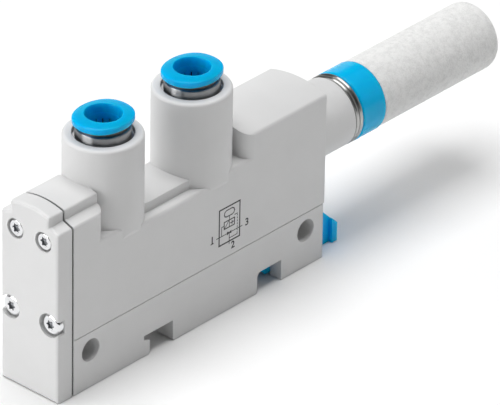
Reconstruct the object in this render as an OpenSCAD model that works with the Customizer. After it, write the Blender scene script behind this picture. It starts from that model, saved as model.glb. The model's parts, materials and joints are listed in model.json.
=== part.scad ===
// Vacuum ejector in block form: two push-in fittings on top, an end cover with
// four screws, an open silencer on the exhaust, and a foot that clips on a
// 35 mm mounting rail. +X runs from the cover to the silencer, +Z is up, and
// the origin lies on the base, midway between the two mounting holes.

/* [Housing] */
// Length of the lower housing
body_len = 66.1; // [66:0.1:68]
// Width of the housing
body_w = 14; // [13.8:0.1:15]
// Height of the joint between the lower and the upper housing
lower_h = 11.5; // [11.2:0.1:12]
// Length by which the upper housing stands out past the lower one at the rear
rear_overhang = 0.3; // [0.1:0.1:1]
// Height above the ejector axis at which the shoulders of the front block meet its rib
front_rise = 11.25; // [10.8:0.05:12.5]
// Fall of the front shoulders from the rib to the outer edge
shoulder_drop = 0.6; // [0.2:0.1:1.2]
// Length of the front block, from the cover joint to its rear wall
front_block_len = 8.2; // [8:0.1:9]
// Height above the ejector axis of the shoulders in the saddle between the fittings
saddle_rise = 3.75; // [3.4:0.05:4.6]
// Height above the ejector axis of the floors of the pockets beside the fittings
pocket_rise = 5.05; // [4.8:0.05:5.6]
// Width of the raised rib
rib_w = 9.5; // [8.5:0.1:10.4]
// Rise of the rib's edges above the shoulders
rib_rise = 1.9; // [1.2:0.1:2.6]
// Rise of the rib's crown above its edges
rib_crown = 0.75; // [0.3:0.05:1.2]
// Distance from the cover joint to the front wall of the rear block
rear_block_x = 45; // [44.6:0.1:46]
// Height above the ejector axis of the side edges of the rear block
rear_rise = 9.9; // [9.4:0.05:11]
// Rise of the rear block's crown above its side edges
rear_crown = 1.15; // [0.6:0.05:2]
// Radius of the upright corners at the walls that face the fittings
block_corner_r = 2.2; // [1.2:0.1:3]
// Radius along the upper edges of the housing
edge_r = 0.6; // [0.3:0.05:0.8]
// Radius along the edges of the rib on the front block
rib_edge_r = 0.4; // [0.2:0.05:0.6]
// Height of the shadow line between the two halves of the housing
parting_gap = 0.12; // [0.05:0.01:0.2]
// Depth of the shadow line between the two halves of the housing
parting_depth = 0.2; // [0.1:0.05:0.3]

/* [Mounting holes] */
// Distance from the cover joint to the front mounting hole
hole_front = 4.4; // [4:0.1:5]
// Distance from the rear mounting hole to the rear face of the lower housing
hole_rear = 4.7; // [4.4:0.1:5]
// Height of the mounting holes above the base
hole_h = 7.7; // [7.5:0.05:8.2]
// Diameter of the mounting holes
hole_d = 4.5; // [4.2:0.1:4.6]

/* [Rail foot] */
// Distance from the outer wall of the rear rail recess to the rear face of the lower housing
rail_rear = 11.2; // [11:0.1:12]
// Width between the two outer walls of the rail recesses
rail_span = 35.1; // [35.1:0.1:35.6]
// Length of the front rail recess
front_recess_len = 6.1; // [5:0.1:7]
// Length of the rear rail recess
rear_recess_len = 6.5; // [5.5:0.1:7]
// Height of the faces that rest on the rail
recess_h = 4.3; // [4.2:0.05:4.6]
// Depth of the undercut behind the hooking lip
hook_depth = 1.5; // [1:0.1:2]
// Height of the undercut at its mouth
hook_gap = 1.4; // [1.2:0.05:1.6]
// Rise of the lip towards the end of the undercut
hook_rise = 0.5; // [0.2:0.05:0.6]
// Radius between the wall and the ceiling of the rear recess
recess_r = 1.1; // [0.5:0.1:2]

/* [Rail latch] */
// Width of the latch body
latch_w = 8.4; // [7.8:0.1:8.8]
// Height of the top face of the latch body
latch_top = 4.1; // [4:0.05:4.1]
// Height of the underside of the latch body
latch_bottom = 0.6; // [0.4:0.05:0.8]
// Length by which the latch nose reaches into the rear recess
nose_reach = 2.4; // [1.6:0.1:3]
// Height of the top face of the latch nose
nose_top = 3.05; // [2.8:0.05:3.1]
// Chamfer at the tip of the latch nose
nose_chamfer = 1.15; // [0.6:0.05:1.6]
// Distance from the rear face of the housing to the end of the pull tab
tab_reach = 6.35; // [5.8:0.05:7]
// Height of the pull tab
tab_h = 7.5; // [6.8:0.1:8.4]
// Depth of the slope on the pull tab
tab_slope = 3.6; // [3:0.1:4]
// Width of the finger grip at the end of the pull tab
grip_w = 10; // [9:0.1:11]
// Thickness of the finger grip
grip_t = 1.35; // [1:0.05:2]
// Length of the latch's travel
latch_travel = 2.8; // [2.4:0.1:3]
// Width of the latch's guide rails, on each side
guide_reach = 0.6; // [0.4:0.05:0.8]
// Height of the latch's guide rails
guide_h = 1; // [0.8:0.05:1.1]
// Gap round the latch in its channel
latch_gap = 0.1; // [0.05:0.01:0.14]
// Outer diameter of the latch spring
latch_spring_d = 2.4; // [2:0.1:2.6]
// Wire diameter of the latch spring
latch_wire_d = 0.35; // [0.25:0.05:0.4]

/* [End cover] */
// Thickness of the end cover
cover_t = 3.55; // [3.2:0.05:4.5]
// Radius along the front edge of the end cover
cover_edge_r = 0.6; // [0.2:0.05:0.8]
// Thickness of the gasket behind the cover
gasket_t = 0.45; // [0.3:0.05:0.8]
// Distance by which the gasket stays inside the housing's outline
gasket_inset = 0.25; // [0.15:0.05:0.4]
// Height of the upper pair of screws above the ejector axis
upper_screw_rise = 7.85; // [7.5:0.05:8.3]
// Distance from the middle to each upper screw
upper_screw_y = 3.4; // [3:0.05:3.6]
// Depth of the lower pair of screws below the ejector axis
lower_screw_drop = 8.75; // [8.4:0.05:9]
// Distance from the middle to each lower screw
lower_screw_y = 4.75; // [4.5:0.05:4.9]
// Diameter of the upper screw pockets
upper_pocket_d = 3.9; // [3.7:0.05:4.2]
// Diameter of the lower screw pockets
lower_pocket_d = 4.7; // [4:0.05:4.9]
// Height of the slots that open the lower pockets to the sides
pocket_slot_h = 2.8; // [2:0.05:3.2]
// Depth of the screw pockets
pocket_depth = 1.75; // [1.5:0.05:2]
// Diameter of the screw heads
head_d = 3.3; // [2.8:0.05:3.5]
// Height of the screw heads
head_h = 1.3; // [1:0.05:1.4]
// Diameter of the screw shanks
shank_d = 2.2; // [2:0.05:2.3]
// Length of the screw shanks
shank_len = 8.8; // [7:0.1:9]
// Width across the lobes of the drive recess
drive_w = 2.05; // [1.6:0.05:2.2]
// Radius of one lobe of the drive recess
drive_lobe_r = 0.22; // [0.15:0.01:0.26]
// Depth of the drive recess
drive_depth = 0.8; // [0.5:0.05:0.9]

/* [Push-in fittings] */
// Outer diameter of the fitting towers
tower_d = 14.75; // [14.2:0.05:15.5]
// Height of the top of the towers above the ejector axis
tower_rise = 21.1; // [20.2:0.05:22.5]
// Distance from the cover joint to the axis of the supply fitting
tower_front = 14.8; // [14.6:0.05:15.2]
// Distance between the axes of the two fittings
tower_pitch = 23; // [22.6:0.05:23.2]
// Diameter of the bores that take the fitting inserts
insert_bore_d = 11.3; // [11:0.05:11.8]
// Depth of the bores that take the fitting inserts
insert_bore_depth = 13.5; // [13:0.1:14]
// Diameter of the tube that the fittings take
tube_d = 6; // [5.9:0.05:6.1]
// Gap between the tube and the release ring, all round
tube_gap = 0.05; // [0.03:0.01:0.1]
// Wall of the collet on the release ring
collet_wall = 1.1; // [0.9:0.05:1.15]
// Gap between the release ring and its sleeve, all round
collet_gap = 0.05; // [0.03:0.01:0.09]
// Length of the release ring's flange along the ejector
flange_len = 11.2; // [10.6:0.05:12.4]
// Width of the release ring's flange across the ejector
flange_w = 9.9; // [9.4:0.05:11]
// Radius of the flatter sides of the flange
flange_side_r = 7.5; // [6:0.5:20]
// Thickness of the flange at its edge
flange_t = 1.3; // [0.9:0.05:1.6]
// Radius along the upper edge of the flange
flange_edge_r = 0.3; // [0.1:0.05:0.4]
// Rise of the flange from its edge to the tube mouth
flange_rise = 0.35; // [0.1:0.05:0.6]
// Width of the lead-in round the tube mouth
lead_in = 0.4; // [0.2:0.05:0.6]
// Travel of the release ring
ring_travel = 0.9; // [0.6:0.05:1.1]
// Reach of the collet's foot past its tube
foot_reach = 0.3; // [0.2:0.05:0.4]
// Height of the collet's foot
foot_h = 1; // [0.6:0.1:1.4]
// Number of slots in the collet
collet_slots = 12; // [6:1:12]
// Width of the slots in the collet
collet_slot_w = 0.35; // [0.2:0.05:0.4]
// Depth below the flange at which the slots in the collet begin
collet_solid = 1.5; // [1:0.1:4]
// Length of sleeve that stands above the tower
sleeve_stand = 1.25; // [1:0.05:1.5]
// Outer diameter of the sleeve where it stands clear of the tower
sleeve_neck_d = 10.65; // [10.3:0.05:10.8]
// Depth of the clear ring round the sleeve's neck
neck_depth = 0.9; // [0.5:0.05:1.5]
// Thickness of the toothed grab ring
grab_t = 0.35; // [0.25:0.05:0.4]
// Fall of the grab ring's teeth from root to tip
tooth_fall = 0.8; // [0.4:0.05:1]
// Number of teeth on the grab ring
teeth = 10; // [8:1:12]
// Height of the tube seal
tube_seal_h = 2.8; // [2.4:0.1:3]

/* [Ejector] */
// Height of the ejector axis
axis_h = 24.25; // [24:0.05:24.4]
// Distance from the cover joint to the seat of the jet nozzle
jet_seat = 33; // [32.6:0.1:33.4]
// Diameter of the jet nozzle's bore
jet_bore_d = 6.4; // [6:0.1:6.6]
// Length of the jet nozzle in front of its seat
jet_len = 13; // [12:0.1:13.4]
// Throat diameter of the jet nozzle
throat_d = 0.7; // [0.5:0.05:1]
// Length of the jet nozzle's tip behind its seat
jet_tip = 2.6; // [2.2:0.1:3]
// Gap between the jet nozzle and the receiver nozzle
jet_gap = 1.2; // [0.8:0.1:1.4]
// Diameter of the vacuum chamber
chamber_d = 7.8; // [7.4:0.1:8]
// Distance from the cover joint to the seat of the receiver nozzle
receiver_seat = 42; // [41.6:0.1:43]
// Diameter of the receiver nozzle's bore
receiver_bore_d = 8.8; // [8.6:0.1:9]
// Throat diameter of the receiver nozzle
receiver_throat_d = 1.4; // [1.2:0.05:1.8]
// Gap between the nozzles and their bores, all round
nozzle_gap = 0.03; // [0.02:0.01:0.05]
// Section diameter of the nozzle O-rings
nozzle_ring_d = 1; // [0.9:0.05:1.1]
// Diameter of the passages below the fittings
passage_d = 5; // [4.4:0.1:5.2]

/* [Pulse valve] */
// Diameter of the valve chamber
valve_d = 10; // [9.6:0.1:10.2]
// Depth of the valve chamber behind the cover joint
valve_depth = 7; // [6.8:0.1:7.2]
// Diameter of the passage that the valve closes
valve_port_d = 4; // [3.6:0.1:4.2]
// Travel of the valve plunger
valve_travel = 0.8; // [0.5:0.05:0.9]
// Diameter of the valve plunger's stem
stem_d = 2.4; // [2.2:0.05:2.6]
// Diameter of the valve plunger's disc
disc_d = 7; // [6.4:0.1:8]
// Thickness of the valve plunger's disc
disc_t = 1.2; // [1:0.05:1.4]
// Thickness of the valve seal
valve_seal_t = 1; // [0.8:0.05:1.2]
// Length by which the cover's boss reaches into the valve chamber
boss_reach = 1.3; // [1:0.05:1.5]
// Wire diameter of the valve spring
valve_wire_d = 0.3; // [0.2:0.05:0.35]

/* [Reservoir] */
// Distance from the cover joint to the front wall of the reservoir
reservoir_front = 10; // [9.8:0.1:11]
// Distance from the rear wall of the reservoir to the rear face of the lower housing
reservoir_rear = 8.1; // [8:0.1:10]
// Width of the reservoir
reservoir_w = 10; // [9.4:0.1:10.2]
// Height of the reservoir's floor
reservoir_floor = 6.3; // [6.1:0.05:6.8]
// Wall between the reservoir and the valve chamber above it
reservoir_cover = 1.75; // [1.5:0.05:2.5]
// Radius of the reservoir's corners
reservoir_r = 2; // [1:0.1:3]
// Width of the joint seal
joint_seal_w = 0.7; // [0.6:0.05:0.8]
// Height of the joint seal
joint_seal_h = 0.7; // [0.5:0.05:0.9]

/* [Silencer] */
// Outer diameter of the exhaust collar
collar_d = 13.6; // [13.2:0.05:13.8]
// Length of the exhaust collar behind the upper housing
collar_len = 8.95; // [8.4:0.05:10]
// Bore of the exhaust collar
socket_d = 11.3; // [11:0.05:11.5]
// Thickness of the metal rim on the collar
rim_t = 1.8; // [1.4:0.05:2.2]
// Outer diameter of the metal rim
rim_d = 13.7; // [13.2:0.05:13.8]
// Depth of the groove round the metal rim
rim_groove = 0.45; // [0.2:0.05:0.6]
// Depth of the metal rim's tube inside the collar
rim_depth = 3; // [2:0.1:4]
// Wall of the metal rim's tube
rim_wall = 0.4; // [0.3:0.05:0.5]
// Outer diameter of the silencer's collar
band_d = 13.75; // [13.4:0.05:13.9]
// Length of the silencer's collar
band_len = 6.2; // [5.6:0.1:7]
// Radius along the edges of the silencer's collar
band_edge_r = 0.4; // [0.2:0.05:0.6]
// Gap round the silencer's plug, all round
plug_gap = 0.1; // [0.05:0.01:0.15]
// Bore of the silencer's plug
plug_bore_d = 7.8; // [7:0.1:8]
// Outer diameter of the porous silencer tube
silencer_d = 13.5; // [13:0.05:13.6]
// Length of the porous tube behind its collar
silencer_len = 32.25; // [28:0.25:40]
// Radius at the closed end of the porous tube
silencer_end_r = 1.3; // [0.8:0.1:2.5]
// Wall of the porous tube
silencer_wall = 2.2; // [1.8:0.1:2.6]
// Depth of the porous tube's seat in the silencer's collar
silencer_seat = 5; // [4.2:0.1:5.4]
// Section diameter of the silencer's O-ring
silencer_ring_d = 1.1; // [0.9:0.05:1.2]

/* [Hidden] */
$fn = 96;
// Overlap of cuts past a face, so that no skin is left
cut = 1;

// Places along the ejector, all from the cover joint
hole_spacing = body_len - hole_front - hole_rear;
joint_x = -hole_spacing / 2 - hole_front;
lower_end = joint_x + body_len;
upper_end = lower_end + rear_overhang;
supply_x = joint_x + tower_front;
vacuum_x = supply_x + tower_pitch;
cover_front = joint_x - gasket_t - cover_t;
latch_wall = lower_end - rail_rear;
lip_x = latch_wall - rail_span;

// Heights that follow the ejector axis
front_h = axis_h + front_rise;
saddle_h = axis_h + saddle_rise;
pocket_h = axis_h + pocket_rise;
rear_h = axis_h + rear_rise;
tower_h = axis_h + tower_rise;
upper_screw_h = axis_h + upper_screw_rise;
lower_screw_h = axis_h - lower_screw_drop;
reservoir_top = axis_h - valve_d / 2 - reservoir_cover;

// Fitting inserts, from the floor of the bore upwards
insert_floor = tower_h - insert_bore_depth;
tube_seal_top = insert_floor + tube_seal_h;
grab_top = tube_seal_top + grab_t;
collet_bottom = grab_top + ring_travel + collet_gap;
sleeve_top = tower_h + sleeve_stand;
flange_bottom = sleeve_top + ring_travel;
flange_top = flange_bottom + flange_t;
mouth_top = flange_top + flange_rise;
insert_r = insert_bore_d / 2;
collet_bore_r = tube_d / 2 + tube_gap;
collet_r = collet_bore_r + collet_wall;
sleeve_bore_r = collet_r + collet_gap;
foot_r = collet_r + foot_reach;
sleeve_ledge_r = insert_r - 0.45;
tooth_tip_r = tube_d / 2 - 0.1;

// Ejector axis
jet_front = joint_x + jet_seat - jet_len;
jet_end = joint_x + jet_seat + jet_tip;
receiver_front = jet_end + jet_gap;
receiver_shoulder = joint_x + receiver_seat;
collar_end = upper_end + collar_len;
rim_end = collar_end + rim_t;
band_end = rim_end + band_len;
silencer_end = band_end + silencer_len;
socket_floor = upper_end - 0.2;
plug_r = socket_d / 2 - plug_gap;

// Latch channel
channel_half = latch_w / 2 + latch_gap;
channel_top = latch_top + latch_gap;
guide_z = (latch_bottom + latch_top) / 2 - guide_h / 2;
guide_start = latch_wall + 2;
lug_t = 1.2;
lug_half = 1.5;
lug_x = lower_end - 1 - lug_t;
slot_half = lug_half + 0.2;
slot_floor = 1.3;
slot_front = latch_wall + 3.5;

// Revolves a profile drawn as [distance from the axis, place along X] about the ejector axis.
module about_axis() {
    translate([0, 0, axis_h]) rotate([0, 90, 0]) rotate_extrude() children();
}

// Round bar along X on the ejector axis, from one place to another.
module axis_bar(from_x, to_x, d) {
    translate([from_x, 0, axis_h]) rotate([0, 90, 0]) cylinder(d = d, h = to_x - from_x);
}

// Pushes a profile drawn across the housing, in Y and Z, from one place along X to another.
module along_x(from_x, to_x) {
    translate([from_x, 0, 0]) rotate([90, 0, 90]) linear_extrude(to_x - from_x) children();
}

// Pushes a profile drawn in X and Z right across the given width.
module across(width) {
    translate([0, width / 2, 0]) rotate([90, 0, 0]) linear_extrude(width) children();
}

// Rectangle with four round corners.
module round_rect(from, to, r) {
    translate([from.x + r, from.y]) square([to.x - from.x - 2 * r, to.y - from.y]);
    translate([from.x, from.y + r]) square([to.x - from.x, to.y - from.y - 2 * r]);
    for (x = [from.x + r, to.x - r], y = [from.y + r, to.y - r]) translate([x, y]) circle(r = r);
}

// Radius of an arc that rises by crown over a chord.
function crown_radius(chord, crown) = (chord * chord / 4 + crown * crown) / (2 * crown);

// Lower part of the cross-section, up to shoulders that fall towards the sides.
module shoulder_section(bottom, top, drop, inset = 0) {
    half = body_w / 2 - inset;
    rib_half = rib_w / 2 - inset;
    outer = top - drop - inset;
    polygon([[-half, bottom + inset], [half, bottom + inset], [half, outer - edge_r],
        [half - edge_r, outer], [rib_half, top - inset], [-rib_half, top - inset],
        [-half + edge_r, outer], [-half, outer - edge_r]]);
    for (side = [-1, 1]) translate([side * (half - edge_r), outer - edge_r]) circle(r = edge_r);
}

// Section with a crowned top, whose edges are rounded so that they run smoothly into the crown.
module crowned_section(half, bottom, crown_top, crown_r, r) {
    centre = crown_top - crown_r;
    round_y = half - r;
    round_z = centre + sqrt(pow(crown_r - r, 2) - round_y * round_y);
    tilt = asin(round_y / (crown_r - r));
    meet_y = crown_r * sin(tilt);
    meet_z = centre + crown_r * cos(tilt);
    polygon([[-half, bottom], [half, bottom], [half, round_z], [round_y, round_z], [meet_y, meet_z],
        [-meet_y, meet_z], [-round_y, round_z], [-half, round_z]]);
    for (side = [-1, 1]) translate([side * round_y, round_z]) circle(r = r);
    intersection() {
        translate([-meet_y, meet_z]) square([2 * meet_y, crown_r]);
        translate([0, centre]) circle(r = crown_r, $fn = 360);
    }
}

// Crowned rib that stands on the shoulders.
module rib_section(bottom, top, inset = 0) {
    crowned_section(rib_w / 2 - inset, bottom, top + rib_rise + rib_crown - inset,
        crown_radius(rib_w, rib_crown), rib_edge_r);
}

// Crowned rib with plain edges, for the saddle between the fittings.
module saddle_rib_section() {
    crown_top = saddle_h + rib_rise + rib_crown;
    crown_r = crown_radius(rib_w, rib_crown);
    intersection() {
        translate([-rib_w / 2, lower_h]) square([rib_w, crown_top - lower_h]);
        translate([0, crown_top - crown_r]) circle(r = crown_r, $fn = 360);
    }
}

// Full-width section with one crown from side to side.
module rear_section() {
    crowned_section(body_w / 2, lower_h, rear_h + rear_crown, crown_radius(body_w, rear_crown), edge_r);
}

// Fitting tower with a rounded top edge, held to the housing's width at its foot.
module tower(x) {
    r = tower_d / 2;
    foot = axis_h;
    half = body_w / 2;
    flare_from = saddle_h - 1;
    flare_to = pocket_h + 1;
    intersection() {
        translate([x, 0, 0]) rotate_extrude() {
            translate([0, foot]) square([r, tower_h - edge_r - foot]);
            translate([0, foot]) square([r - edge_r, tower_h - foot]);
            translate([r - edge_r, tower_h - edge_r]) circle(r = edge_r);
        }
        along_x(x - r - cut, x + r + cut)
            polygon([[-half, 0], [half, 0], [half, flare_from], [r + cut, flare_to], [r + cut, tower_h + cut],
                [-r - cut, tower_h + cut], [-r - cut, flare_to], [-half, flare_from]]);
    }
}

// Stepped bore below a fitting: the insert's seat and the passage to the ejector axis.
module fitting_bore(x) {
    translate([x, 0, insert_floor]) cylinder(d = insert_bore_d, h = insert_bore_depth + cut);
    translate([x, 0, axis_h]) cylinder(d = passage_d, h = insert_floor - axis_h + cut);
}

// Places the four cover screws: two above, two below.
module at_screw(i) {
    upper = i < 2;
    side = i % 2 == 0 ? 1 : -1;
    y = upper ? upper_screw_y : lower_screw_y;
    translate([0, side * y, upper ? upper_screw_h : lower_screw_h]) children();
}

// Plan of the reservoir, grown or shrunk all round.
module reservoir_plan(grow = 0) {
    round_rect([joint_x + reservoir_front - grow, -reservoir_w / 2 - grow],
        [lower_end - reservoir_rear + grow, reservoir_w / 2 + grow], reservoir_r + grow);
}

module upper_housing() {
    wall_front = joint_x + front_block_len;
    wall_rear = joint_x + rear_block_x;
    half = body_w / 2;
    duct_half = 2.4;
    color("gainsboro") difference() {
        union() {
            along_x(joint_x, upper_end) shoulder_section(lower_h, saddle_h, 0);
            along_x(supply_x, vacuum_x) saddle_rib_section();
            along_x(joint_x + edge_r, supply_x) shoulder_section(lower_h, pocket_h, 0);
            along_x(vacuum_x, upper_end - edge_r) shoulder_section(lower_h, pocket_h, 0);
            intersection() {
                along_x(joint_x, wall_front) {
                    shoulder_section(lower_h, front_h, shoulder_drop);
                    rib_section(lower_h, front_h);
                }
                linear_extrude(tower_h)
                    round_rect([joint_x - 2 * block_corner_r, -half], [wall_front, half], block_corner_r);
            }
            intersection() {
                along_x(wall_rear, upper_end) rear_section();
                linear_extrude(tower_h)
                    round_rect([wall_rear, -half], [upper_end + 2 * block_corner_r, half], block_corner_r);
            }
            tower(supply_x);
            tower(vacuum_x);
            about_axis() {
                translate([0, upper_end - cut]) square([collar_d / 2, collar_len + cut - edge_r]);
                translate([0, upper_end - cut]) square([collar_d / 2 - edge_r, collar_len + cut]);
                translate([collar_d / 2 - edge_r, collar_end - edge_r]) circle(r = edge_r);
            }
        }
        fitting_bore(supply_x);
        fitting_bore(vacuum_x);
        axis_bar(joint_x - cut, joint_x + valve_depth, valve_d);
        axis_bar(joint_x + valve_depth - cut, supply_x, valve_port_d);
        axis_bar(supply_x - passage_d / 2, joint_x + jet_seat + cut, jet_bore_d);
        axis_bar(joint_x + jet_seat, receiver_shoulder + cut, chamber_d);
        axis_bar(receiver_shoulder, socket_floor + cut, receiver_bore_d);
        axis_bar(socket_floor, collar_end + cut, socket_d);
        axis_bar(collar_end - rim_depth, collar_end + cut, socket_d + 2 * rim_wall);
        // Reservoir, with a duct that leads under the valve chamber
        translate([0, 0, lower_h - cut]) linear_extrude(reservoir_top - lower_h + cut) reservoir_plan();
        translate([joint_x + duct_half, -duct_half, lower_h - cut])
            cube([reservoir_front, 2 * duct_half, reservoir_top - lower_h + cut]);
        translate([joint_x + 2 * duct_half, 0, reservoir_top - cut])
            cylinder(d = duct_half, h = axis_h - reservoir_top + cut);
        for (i = [0:3]) at_screw(i) translate([joint_x - cut, 0, 0]) rotate([0, 90, 0])
            cylinder(d = shank_d, h = shank_len - cover_t - gasket_t + pocket_depth + 2 * cut);
    }
}

// Side outline of the lower housing, with both rail recesses.
module foot_outline() {
    bevel = 0.3;
    rear_wall = latch_wall - rear_recess_len;
    difference() {
        translate([joint_x, 0]) square([body_len, lower_h]);
        // Front recess with the undercut behind its lip
        polygon([[lip_x - bevel, -cut], [lip_x - bevel, 0], [lip_x, bevel],
            [lip_x, recess_h - hook_gap], [lip_x - hook_depth, recess_h - hook_gap + hook_rise],
            [lip_x - hook_depth, recess_h], [lip_x + front_recess_len, recess_h],
            [lip_x + front_recess_len, bevel], [lip_x + front_recess_len + bevel, 0],
            [lip_x + front_recess_len + bevel, -cut]]);
        // Rear recess with a round inner corner
        translate([rear_wall + recess_r, -cut]) square([rear_recess_len - recess_r, recess_h + cut]);
        translate([rear_wall, -cut]) square([rear_recess_len, recess_h - recess_r + cut]);
        translate([rear_wall + recess_r, recess_h - recess_r]) circle(r = recess_r);
        polygon([[rear_wall - bevel, -cut], [rear_wall - bevel, 0], [rear_wall, bevel], [rear_wall, -cut]]);
    }
}

module lower_housing() {
    color("gainsboro") {
        difference() {
            across(body_w) foot_outline();
            for (x = [-1, 1] * hole_spacing / 2)
                translate([x, body_w, hole_h]) rotate([90, 0, 0]) cylinder(d = hole_d, h = 2 * body_w);
            translate([0, 0, reservoir_floor]) linear_extrude(lower_h) reservoir_plan();
            translate([0, 0, lower_h - joint_seal_h]) linear_extrude(lower_h) seal_plan();
            // Shadow line below the joint with the upper housing
            for (side = [-1, 1]) translate([joint_x - cut, side * body_w / 2 - parting_depth, lower_h - parting_gap])
                cube([body_len + 2 * cut, 2 * parting_depth, 2 * parting_gap]);
            // Channel and guide grooves of the latch, open at the rear
            translate([latch_wall - cut, -channel_half, -cut])
                cube([body_len, 2 * channel_half, channel_top + cut]);
            translate([guide_start, -channel_half - guide_reach, guide_z - latch_gap])
                cube([body_len, 2 * (channel_half + guide_reach), guide_h + 2 * latch_gap]);
        }
        // Lug that the latch spring pushes against
        translate([lug_x, -lug_half, slot_floor + 0.4])
            cube([lug_t, 2 * lug_half, channel_top - slot_floor]);
    }
}

// Plan of the seal round the reservoir.
module seal_plan() {
    land = 0.45;
    difference() {
        reservoir_plan(land + joint_seal_w);
        reservoir_plan(land);
    }
}

module joint_seal() {
    color("dimgray")
        translate([0, 0, lower_h - joint_seal_h]) linear_extrude(joint_seal_h) seal_plan();
}

// Plate with the outline of the front block and a rounded front edge.
module cover_plate() {
    thin = 0.01;
    back = joint_x - gasket_t;
    part_way = cover_edge_r * (1 - sqrt(0.5));
    hull() {
        along_x(cover_front, cover_front + thin) shoulder_section(0, front_h, shoulder_drop, cover_edge_r);
        along_x(cover_front + part_way, cover_front + part_way + thin)
            shoulder_section(0, front_h, shoulder_drop, part_way);
        along_x(cover_front + cover_edge_r, back) shoulder_section(0, front_h, shoulder_drop);
    }
    hull() {
        along_x(cover_front, cover_front + thin) rib_section(lower_h, front_h, cover_edge_r);
        along_x(cover_front + part_way, cover_front + part_way + thin) rib_section(lower_h, front_h, part_way);
        along_x(cover_front + cover_edge_r, back) rib_section(lower_h, front_h);
    }
}

module end_cover() {
    boss_end = joint_x + boss_reach;
    color("gainsboro") difference() {
        union() {
            cover_plate();
            axis_bar(joint_x - gasket_t - cut, boss_end, valve_d - 0.1);
        }
        // Guide for the valve plunger
        axis_bar(cover_front + 1.2, boss_end + cut, stem_d + 2 * nozzle_gap);
        for (i = [0:3]) at_screw(i) {
            translate([cover_front - cut, 0, 0]) rotate([0, 90, 0])
                cylinder(d = i < 2 ? upper_pocket_d : lower_pocket_d, h = pocket_depth + cut);
            translate([cover_front - cut, 0, 0]) rotate([0, 90, 0]) cylinder(d = shank_d, h = cover_t + 2 * cut);
        }
        // Slots that open the lower pockets to the sides
        for (side = [-1, 1])
            translate([cover_front - cut, side * body_w / 2 - lower_pocket_d / 2, lower_screw_h - pocket_slot_h / 2])
                cube([pocket_depth + cut, lower_pocket_d, pocket_slot_h]);
    }
}

module cover_gasket() {
    color("dimgray") difference() {
        along_x(joint_x - gasket_t, joint_x) {
            shoulder_section(0, front_h, shoulder_drop, gasket_inset);
            rib_section(lower_h, front_h, gasket_inset);
        }
        axis_bar(joint_x - gasket_t - cut, joint_x + cut, valve_d);
        for (i = [0:3]) at_screw(i) translate([joint_x - gasket_t - cut, 0, 0]) rotate([0, 90, 0])
            cylinder(d = shank_d, h = gasket_t + 2 * cut);
    }
}

// Pan-head screw with a six-lobe recess, driven in along +X.
module cover_screw(i) {
    seat = cover_front + pocket_depth;
    dome = 0.35;
    tip = 0.6;
    color("silver") at_screw(i) difference() {
        translate([seat, 0, 0]) rotate([0, 90, 0]) rotate_extrude() {
            polygon([[0, -head_h], [head_d / 2 - dome, -head_h], [head_d / 2 - dome, 0], [0, 0]]);
            translate([0, -head_h + dome]) square([head_d / 2, head_h - dome]);
            translate([head_d / 2 - dome, -head_h + dome]) circle(r = dome);
            polygon([[0, 0], [shank_d / 2, 0], [shank_d / 2, shank_len - tip],
                [shank_d / 2 - tip / 2, shank_len], [0, shank_len]]);
        }
        translate([seat - head_h - cut, 0, 0]) rotate([0, 90, 0]) linear_extrude(drive_depth + cut) {
            circle(r = 0.7 * drive_w / 2);
            for (turn = [0:60:300]) rotate(turn) translate([drive_w / 2 - drive_lobe_r, 0]) circle(r = drive_lobe_r);
        }
    }
}
module cover_screw_1() { cover_screw(0); }
module cover_screw_2() { cover_screw(1); }
module cover_screw_3() { cover_screw(2); }
module cover_screw_4() { cover_screw(3); }

// Metal sleeve pressed into a tower: it guides the release ring and holds the grab ring.
module sleeve(x) {
    lip = 0.25;
    color("silver") translate([x, 0, 0]) rotate_extrude() difference() {
        union() {
            translate([0, tube_seal_top]) square([insert_r, tower_h - neck_depth - tube_seal_top]);
            translate([0, tube_seal_top]) square([sleeve_neck_d / 2, sleeve_top - lip - tube_seal_top]);
            translate([0, tube_seal_top]) square([sleeve_neck_d / 2 - lip, sleeve_top - tube_seal_top]);
            translate([sleeve_neck_d / 2 - lip, sleeve_top - lip]) circle(r = lip);
        }
        translate([0, tube_seal_top - cut]) square([sleeve_bore_r, insert_bore_depth + 2 * cut]);
        translate([0, tube_seal_top - cut]) square([foot_r + collet_gap, collet_bottom + foot_h - tube_seal_top + cut]);
        translate([0, tube_seal_top - cut]) square([sleeve_ledge_r, grab_t + cut]);
        translate([0, sleeve_top - lip]) square([sleeve_bore_r + lip, lip + cut]);
    }
}

// Disc with a rounded upper edge that rises to the given top at the inner radius.
module flange_disc(r, inner_r, top) {
    part_way = flange_edge_r * (1 - sqrt(0.5));
    foot = 0.2;
    rotate_extrude($fn = 144) polygon([[0, flange_bottom], [r - foot, flange_bottom], [r, flange_bottom + foot],
        [r, flange_top - flange_edge_r], [r - part_way, flange_top - part_way],
        [r - flange_edge_r, flange_top], [inner_r, top], [0, top]]);
}

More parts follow.
